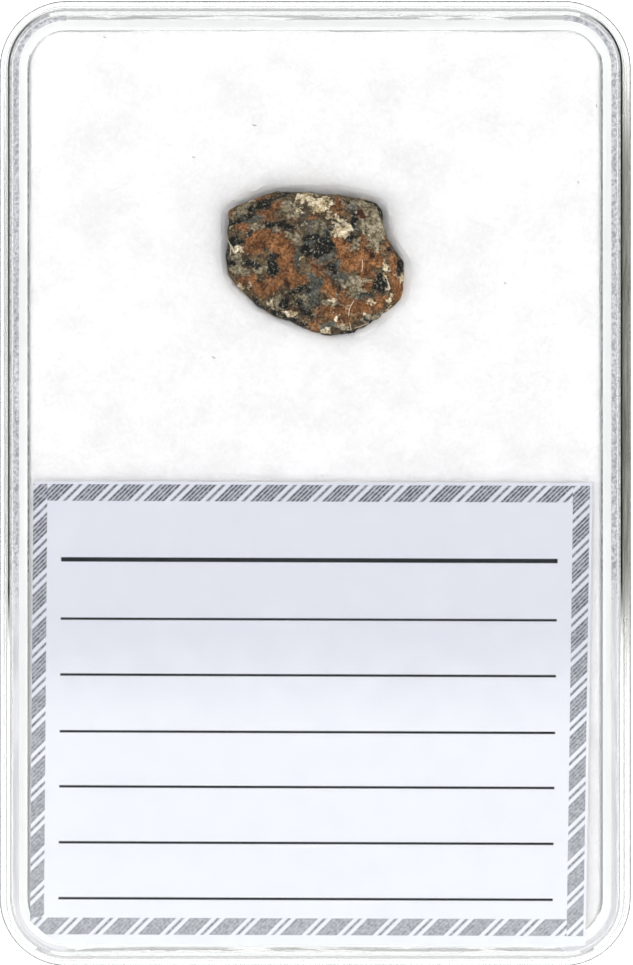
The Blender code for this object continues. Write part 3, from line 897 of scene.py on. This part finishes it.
def makeStoneMaterial():
    material, tree, shader = newMaterial("lunarBreccia", Roughness=0.7,
                                         Specular_IOR_Level=0.05)
    add = partial(addNode, tree)
    coords = add("TexCoord", output="Object")
    patterns = []
    for size, detail, shift, roughness in stone["patterns"].values():
        shifted = add("Mapping", {"Vector": coords, "Location": (shift, shift, 0)})
        patterns.append(add("TexNoise", {"Vector": shifted, "Scale": 1 / (size * mm),
                                         "Detail": detail, "Roughness": roughness}))
    grain, lumps, sparkle = patterns
    byGrain = add("MapRange", (grain, 0.38, 0.62))
    byLumps = add("MapRange", (lumps, 0.36, 0.64))

    def look(kind):
        # four tones of one kind of rock, by its grain and by its lumps
        a, b, c, d = stoneColours[kind]
        dull = add("Mix", {0: byGrain, 6: a, 7: b}, 2, data_type="RGBA")
        bright = add("Mix", {0: byGrain, 6: c, 7: d}, 2, data_type="RGBA")
        return add("Mix", {0: byLumps, 6: dull, 7: bright}, 2, data_type="RGBA")

    # both make the clasts' edges ragged
    edge = 0.0
    for pattern, strength in ((lumps, 0.6), (grain, 0.75)):
        ragged = add("Math", (pattern, 0.5), operation="SUBTRACT")
        edge = add("Math", (ragged, strength, edge), operation="MULTIPLY_ADD")
    colour = look("matrix")
    for kind, (low, high) in stone["edges"].items():
        field = add("Attribute", output="Fac", attribute_name=kind)
        reach = add("Math", (field, edge), operation="ADD")
        if kind in ("olive", "cream", "grey"):
            # painted shade: a thin dark line round these clasts, where the gap round them is in
            # shadow
            seam = add("MapRange", (reach, low - 0.2, low - 0.06, 0.0, 0.55))
            inner = add("MapRange", (reach, low + 0.02, low - 0.04))
            seam = add("Math", (seam, inner), operation="MULTIPLY")
            colour = add("Mix", {0: seam, 6: colour, 7: "#1E1911"}, 2, data_type="RGBA")
        rock = look(kind)
        if kind == "black":
            # glassy, with small bright glints
            glints = add("MapRange", (grain, 0.57, 0.68, 0.0, 0.85))
            rock = add("Mix", {0: glints, 6: rock, 7: "#B5AF9F"}, 2, data_type="RGBA")
        covered = add("MapRange", (reach, low, high))
        colour = add("Mix", {0: covered, 6: colour, 7: rock}, 2, data_type="RGBA")
    # painted shade in short open cracks, and then pale and dark specks over all
    shake = add("TexNoise", {"Vector": coords, "Scale": 1 / (0.7 * mm)}, "Color")
    shaken = add("VectorMath", (shake, [0.6 * mm] * 3, coords), operation="MULTIPLY_ADD")
    cells = add("TexVoronoi", {"Vector": shaken, "Scale": 1 / (1.0 * mm)}, "Distance",
                feature="DISTANCE_TO_EDGE")
    crackShade = add("MapRange", (cells, 0.06, 0.015, 0.0, 0.6))
    broken = add("MapRange", (lumps, 0.6, 0.45))
    crackShade = add("Math", (crackShade, broken), operation="MULTIPLY")
    pale = add("MapRange", (sparkle, 0.64, 0.8, 0.0, 0.55))
    dark = add("MapRange", (sparkle, 0.37, 0.25, 0.0, 0.6))
    for amount, tone in ((crackShade, "#17130C"), (pale, "#C9BEA6"), (dark, "#15120C")):
        colour = add("Mix", {0: amount, 6: colour, 7: tone}, 2, data_type="RGBA")
    # painted light: the colour is made a little brighter towards the right, standing in for the
    # fall of the light across the stone
    x = add("SeparateXYZ", (coords,), "X")
    lightFalloff = add("MapRange", (x, -4.5 * mm, 4 * mm, 0.95, 1.17))
    litStone = add("HueSaturation", {"Color": colour, "Saturation": 1.03, "Value": lightFalloff})
    tree.links.new(litStone, shader.inputs["Base Color"])
    bump = add("Bump", {"Height": grain, "Strength": 0.8, "Distance": 0.06 * mm})
    bump = add("Bump", {"Height": lumps, "Strength": 0.7, "Distance": 0.12 * mm, "Normal": bump})
    tree.links.new(bump, shader.inputs["Normal"])
    return material


def makeStone():
    piece = copyOfNode("meteorite", "brecciaFragment")
    remeshEvenly(piece, stone["voxel"], stone["soften"])
    for size, height in zip(stone["grainSize"], stone["grain"]):
        addNoiseShift(piece, f"grain{size}", size, height)
    applyModifiers(piece)
    places, fields = paintClasts(piece)
    normals = np.zeros(len(places) * 3)
    piece.data.vertices.foreach_get("normal", normals)
    normals = normals.reshape(-1, 3)
    rise = sum(height * np.clip(fields[kind] - 0.3, 0, 0.5) * 2
               for kind, height in stone["relief"].items())
    moved = places + normals * rise[:, None]
    moved[:, 0] += stone["place"][0]
    moved[:, 1] += stone["place"][1]
    piece.data.vertices.foreach_set("co", (moved * mm).ravel())
    piece.data.update()
    onlySelect(piece)
    bpy.ops.object.shade_smooth()
    finishPiece(piece, makeStoneMaterial(), "breccia", "meteorite")
    return piece


# Loose fibres of the wadding that cling to the stone, and grey flecks of lint on the wadding

loose = {
    "hairRadius": 0.018, "hairLift": 0.03, "hairColour": "#E9DFCB",
    "fleckRadius": 0.028, "fleckLift": 0.0, "fleckColour": "#9A9994",
    # runs of points in mm from the middle of the stone
    "hairs": (
        ((2.25, -2.25), (2.02, -2.6), (1.93, -3.0), (1.96, -3.45), (2.08, -4.0)),
        ((1.85, -4.0), (2.3, -3.9), (2.75, -3.75), (3.15, -3.58)),
        ((-5.35, 1.45), (-5.12, 1.15), (-5.1, 0.75), (-5.15, 0.45), (-5.35, 0.05)),
        ((-5.12, 1.1), (-4.95, 0.9), (-4.98, 0.65)), ((2.75, 0.2), (2.78, -0.15), (2.72, -0.5)),
        ((-4.1, 3.95), (-3.9, 4.15), (-3.75, 4.2)), ((0.6, 4.5), (0.95, 4.35), (1.15, 4.1)),
    ),
    # runs of points in mm on the box
    "flecks": (
        ((-3.75, 21.5), (-3.6, 21.42), (-3.5, 21.45)), ((-7.35, 19.6), (-7.2, 19.5)),
        ((15.7, 18.1), (15.78, 17.95)), ((-6.15, 7.62), (-6.05, 7.5), (-5.95, 7.52)),
        ((11.3, 12.05), (11.42, 11.95)), ((-15.75, 27.0), (-15.6, 26.95)),
        ((-12.65, 26.75), (-12.5, 26.7)), ((16.8, 22.7), (16.85, 22.55)),
    ),
}


def addStrand(points, radius, beneath, lift):
    # a thin thread through the points, laid on the piece beneath it
    curve = bpy.data.curves.new("strand", "CURVE")
    curve.dimensions = "3D"
    curve.bevel_depth = radius * mm
    curve.bevel_resolution = 0
    curve.use_fill_caps = True
    spline = curve.splines.new("NURBS")
    spline.points.add(len(points) - 1)
    spline.use_endpoint_u = True
    spline.order_u = min(3, len(points))
    spline.resolution_u = 6
    tree = treeOf(beneath.data)
    for point, (x, y) in zip(spline.points, points):
        hit = tree.ray_cast(Vector((x * mm, y * mm, boxHigh.z)), Vector((0, 0, -1)))[0]
        height = hit.z if hit else boxHigh.z - 2 * mm
        point.co = (x * mm, y * mm, height + lift * mm, 1)
    strand = bpy.data.objects.new("strand", curve)
    scene.collection.objects.link(strand)
    onlySelect(strand)
    bpy.ops.object.convert(target="MESH")
    return bpy.context.object


def makeLooseFibres(name, kind, runs, beneath):
    strands = [addStrand(run, loose[kind + "Radius"], beneath, loose[kind + "Lift"])
               for run in runs]
    onlySelect(strands[0])
    for strand in strands:
        strand.select_set(True)
    bpy.ops.object.join()
    piece = bpy.context.object
    piece.name = name
    bpy.ops.object.shade_smooth()
    # single cotton fibres and grey lint are both matt
    material = newMaterial(name, Roughness=0.9, Specular_IOR_Level=0.1,
                           Base_Color=linear(loose[kind + "Colour"]))[0]
    finishPiece(piece, material, "wadding")


addCamera()
addLightTent()
addSoftBoxes()
makeFloor()
print("camera, light and floor are set")
plastic = makeClearPlastic()
makeTray(plastic)
makeLid(plastic)
print("clear box is made")
wadding = makePadding()
print("wadding is made:", len(wadding.data.polygons), "faces")
makeLabel()
print("label is made")
meteorite = makeStone()
print("stone is made:", len(meteorite.data.polygons), "faces")
centreX, centreY = stone["place"]
hairRuns = [[(x + centreX, y + centreY) for x, y in run] for run in loose["hairs"]]
makeLooseFibres("clingingFibres", "hair", hairRuns, meteorite)
makeLooseFibres("lintFlecks", "fleck", loose["flecks"], wadding)
print("loose fibres are laid")
